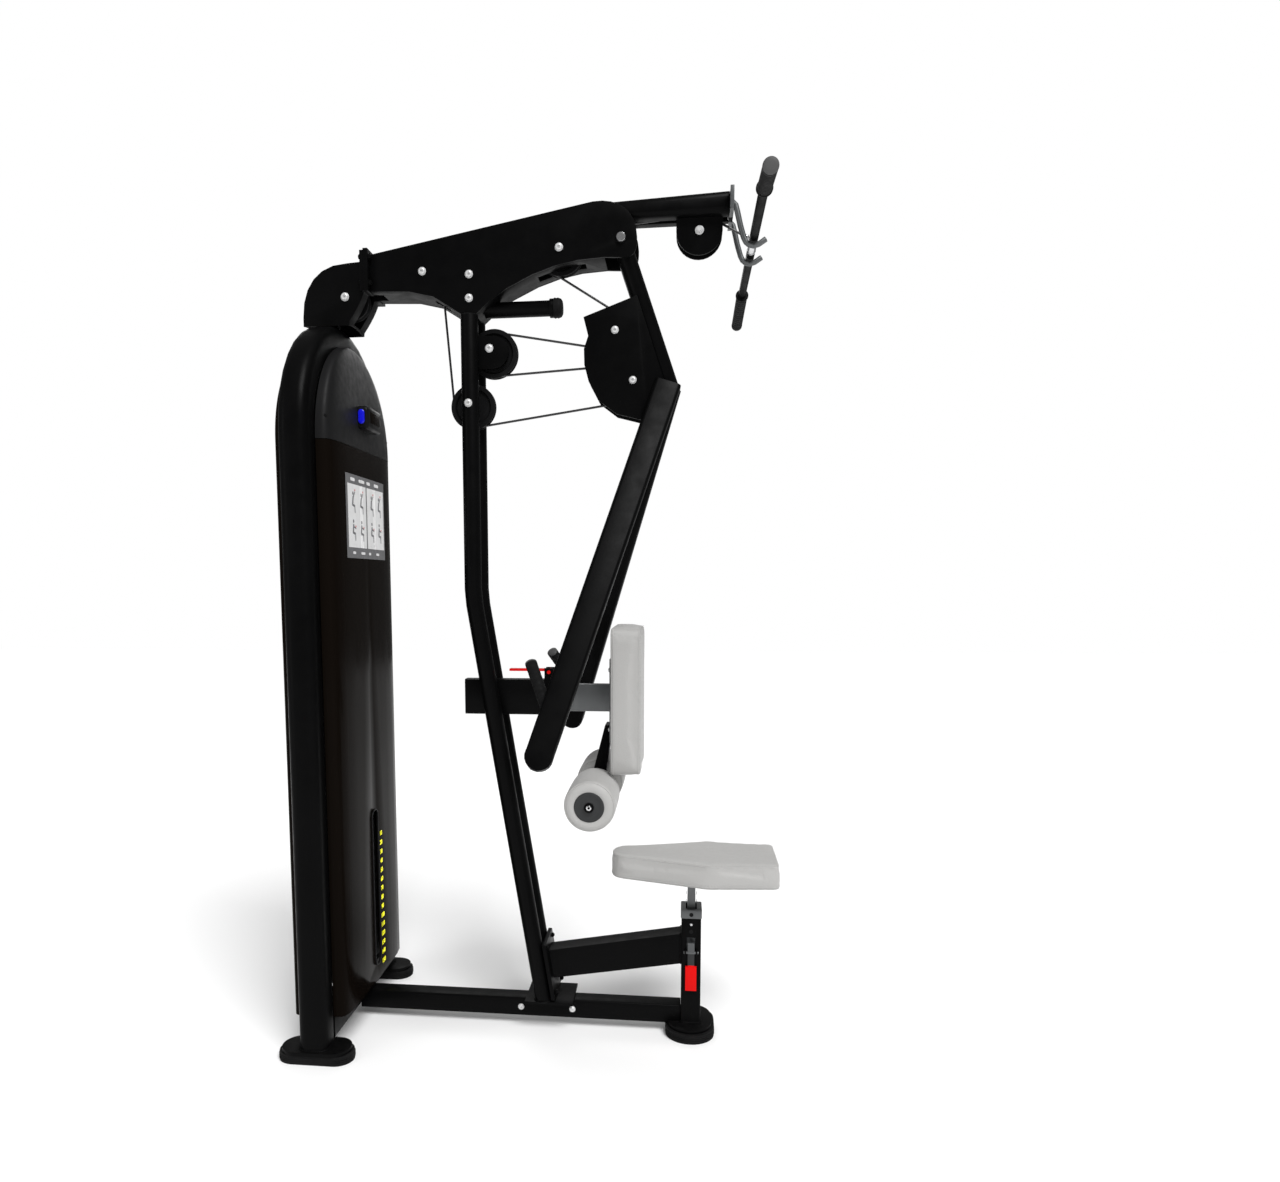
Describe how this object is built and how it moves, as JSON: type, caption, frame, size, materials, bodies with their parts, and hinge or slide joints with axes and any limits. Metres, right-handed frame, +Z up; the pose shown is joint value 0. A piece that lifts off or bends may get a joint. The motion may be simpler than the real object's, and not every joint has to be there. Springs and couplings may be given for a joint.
{
  "type": "lat pulldown machine",
  "caption": "Selectorised lat pulldown and seated row machine with a shrouded weight tower, overhead boom, swinging row arm, chest pad and adjustable seat.",
  "frame": {"origin": "on the floor under the middle of the machine's length and width", "axes": "+Z up, +X from the weight tower towards the seat, Y across the machine"},
  "size_m": [1.295, 1.15, 2.197],
  "materials": {
    "frame_paint": "satin black powder coat",
    "smoked_panel": "smoked brown-black semi-gloss",
    "cap_plastic": "dark grey satin",
    "rubber": "dark grey, fine grain",
    "chrome": "polished",
    "grey_steel": "satin grey plated",
    "black_iron": "black painted casting",
    "upholstery": "pale warm grey upholstery",
    "red_plastic": "bright red",
    "black_plastic": "black moulded",
    "cable_sheath": "black sheathed wire rope"
  },
  "bodies": {
    "root": {"tower_frame": "frame_paint", "base_tube": "frame_paint", "rubber_foot_near": "rubber", "rubber_foot_far": "rubber", "rubber_foot_seat": "rubber", "guide_rod_near": "chrome", "guide_rod_far": "chrome", "front_shroud": "smoked_panel", "rear_shroud": "smoked_panel", "front_cap": "cap_plastic", "stack_buffer": "rubber", "weight_plates_resting": "black_iron", "gooseneck_housing": "frame_paint", "head_plate_near": "frame_paint", "head_plate_far": "frame_paint", "head_band": "frame_paint", "bumper_rubber": "rubber", "boom_tube": "frame_paint", "storage_hooks": "grey_steel", "post_frame": "frame_paint", "seat_arm": "frame_paint", "seat_sleeve": "frame_paint", "pad_support_tube": "frame_paint", "row_pivot_shaft": "chrome", "cable_stack": "cable_sheath", "cable_rear": "cable_sheath", "cable_arm_loops": "cable_sheath", "cable_front": "cable_sheath"},
    "stack": {"weight_plates_lifted": "black_iron", "selector_stem": "grey_steel"},
    "selector_pin": {"selector_pin": "black_plastic"},
    "row_arm": {"row_arm_upper": "frame_paint", "row_arm_near": "frame_paint", "row_arm_far": "frame_paint", "cam_plate_near": "frame_paint", "cam_plate_far": "frame_paint", "row_handle_near": "rubber", "row_handle_far": "rubber"},
    "lat_cable": {"lat_cable_lead": "cable_sheath"},
    "lat_bar": {"lat_bar": "frame_paint", "lat_grip_near": "rubber", "lat_grip_far": "rubber", "cable_end": "chrome"},
    "seat": {"seat_inner_post": "grey_steel", "seat_cushion": "upholstery"},
    "seat_lever": {"seat_lever": "red_plastic"},
    "pad_carriage": {"pad_slide": "grey_steel", "chest_pad": "upholstery", "roller_bracket": "frame_paint"},
    "roller_near": {"thigh_roller_near": "upholstery"},
    "roller_far": {"thigh_roller_far": "upholstery"},
    "pad_lever": {"pad_lever": "red_plastic"},
    "pulley_gooseneck": {"pulley_gooseneck": "black_plastic"},
    "pulley_head_rear": {"pulley_head_rear": "black_plastic"},
    "pulley_post_lower": {"pulley_post_lower": "black_plastic"},
    "pulley_row_lower": {"pulley_row_lower": "black_plastic"},
    "pulley_post_upper": {"pulley_post_upper": "black_plastic"},
    "pulley_row_upper": {"pulley_row_upper": "black_plastic"},
    "pulley_head_front": {"pulley_head_front": "black_plastic"},
    "pulley_boom": {"pulley_boom": "black_plastic"}
  },
  "joints": [
    {"name": "stack_lift", "type": "slide", "parent": "root", "child": "stack", "axis": [0, 0, 1], "range_m": [0, 0.9], "deforming": ["cable_stack"]},
    {"name": "selector_pin_pull", "type": "slide", "parent": "stack", "child": "selector_pin", "axis": [-1, 0, 0], "range_m": [-0.07, 0]},
    {"name": "row_arm_swing", "type": "hinge", "parent": "root", "child": "row_arm", "pos_m": [0.2285, 0, 2.091], "axis": [0, -1, 0], "range_deg": [-12, 35], "deforming": ["cable_arm_loops"]},
    {"name": "bar_unhook", "type": "slide", "parent": "root", "child": "lat_cable", "axis": [0.866, 0, 0.5], "range_m": [0, 0.06], "deforming": ["lat_cable_lead"]},
    {"name": "bar_pull", "type": "slide", "parent": "lat_cable", "child": "lat_bar", "axis": [0, 0, -1], "range_m": [0, 0.9]},
    {"name": "seat_height", "type": "slide", "parent": "root", "child": "seat", "axis": [0, 0, 1], "range_m": [-0.06, 0.1]},
    {"name": "seat_lever_turn", "type": "hinge", "parent": "root", "child": "seat_lever", "pos_m": [0.42, -0.0405, 0.235], "axis": [-1, 0, 0], "range_deg": [0, 20], "stiffness_Nm_per_rad": 0.3},
    {"name": "pad_slide_in_out", "type": "slide", "parent": "root", "child": "pad_carriage", "axis": [1, 0, 0], "range_m": [-0.06, 0.08]},
    {"name": "pad_lever_turn", "type": "hinge", "parent": "root", "child": "pad_lever", "pos_m": [0.0335, 0, 0.992], "axis": [0, 1, 0], "range_deg": [0, 25], "stiffness_Nm_per_rad": 0.3},
    {"name": "roller_near_spin", "type": "hinge", "parent": "pad_carriage", "child": "roller_near", "pos_m": [0.1635, -0.148, 0.678], "axis": [0, 1, 0], "continuous": true},
    {"name": "roller_far_spin", "type": "hinge", "parent": "pad_carriage", "child": "roller_far", "pos_m": [0.1635, 0.148, 0.678], "axis": [0, 1, 0], "continuous": true},
    {"name": "pulley_gooseneck_spin", "type": "hinge", "parent": "root", "child": "pulley_gooseneck", "pos_m": [-0.4905, 0, 1.974], "axis": [0, 1, 0], "range_deg": [-1300, 1300]},
    {"name": "pulley_head_rear_spin", "type": "hinge", "parent": "root", "child": "pulley_head_rear", "pos_m": [-0.2845, 0, 2.031], "axis": [0, 1, 0], "range_deg": [-1370, 1370]},
    {"name": "pulley_post_lower_spin", "type": "hinge", "parent": "root", "child": "pulley_post_lower", "pos_m": [-0.1655, 0, 1.695], "axis": [0, 1, 0], "range_deg": [-1010, 1010]},
    {"name": "pulley_row_lower_spin", "type": "hinge", "parent": "row_arm", "child": "pulley_row_lower", "pos_m": [0.2575, 0, 1.748], "axis": [0, 1, 0], "range_deg": [-1140, 1140]},
    {"name": "pulley_post_upper_spin", "type": "hinge", "parent": "root", "child": "pulley_post_upper", "pos_m": [-0.1085, 0, 1.83], "axis": [0, 1, 0], "range_deg": [-940, 940]},
    {"name": "pulley_row_upper_spin", "type": "hinge", "parent": "row_arm", "child": "pulley_row_upper", "pos_m": [0.2115, 0, 1.874], "axis": [0, 1, 0], "range_deg": [-1190, 1190]},
    {"name": "pulley_head_front_spin", "type": "hinge", "parent": "root", "child": "pulley_head_front", "pos_m": [0.0715, 0, 2.075], "axis": [0, 1, 0], "range_deg": [-1050, 1050]},
    {"name": "pulley_boom_spin", "type": "hinge", "parent": "root", "child": "pulley_boom", "pos_m": [0.4235, 0, 2.112], "axis": [0, 1, 0], "range_deg": [-1160, 1160]}
  ],
  "couplings": [
    {"joint": "bar_pull", "follows": "stack_lift", "ratio": 1},
    {"joint": "pulley_gooseneck_spin", "follows": "stack_lift", "rad_per_m": 25},
    {"joint": "pulley_head_rear_spin", "follows": "stack_lift", "rad_per_m": 26.316},
    {"joint": "pulley_post_lower_spin", "follows": "stack_lift", "rad_per_m": -19.231},
    {"joint": "pulley_row_lower_spin", "follows": "stack_lift", "rad_per_m": -21.739},
    {"joint": "pulley_post_upper_spin", "follows": "stack_lift", "rad_per_m": 17.857},
    {"joint": "pulley_row_upper_spin", "follows": "stack_lift", "rad_per_m": -22.727},
    {"joint": "pulley_head_front_spin", "follows": "stack_lift", "rad_per_m": 20},
    {"joint": "pulley_boom_spin", "follows": "stack_lift", "rad_per_m": 22.222}
  ]
}
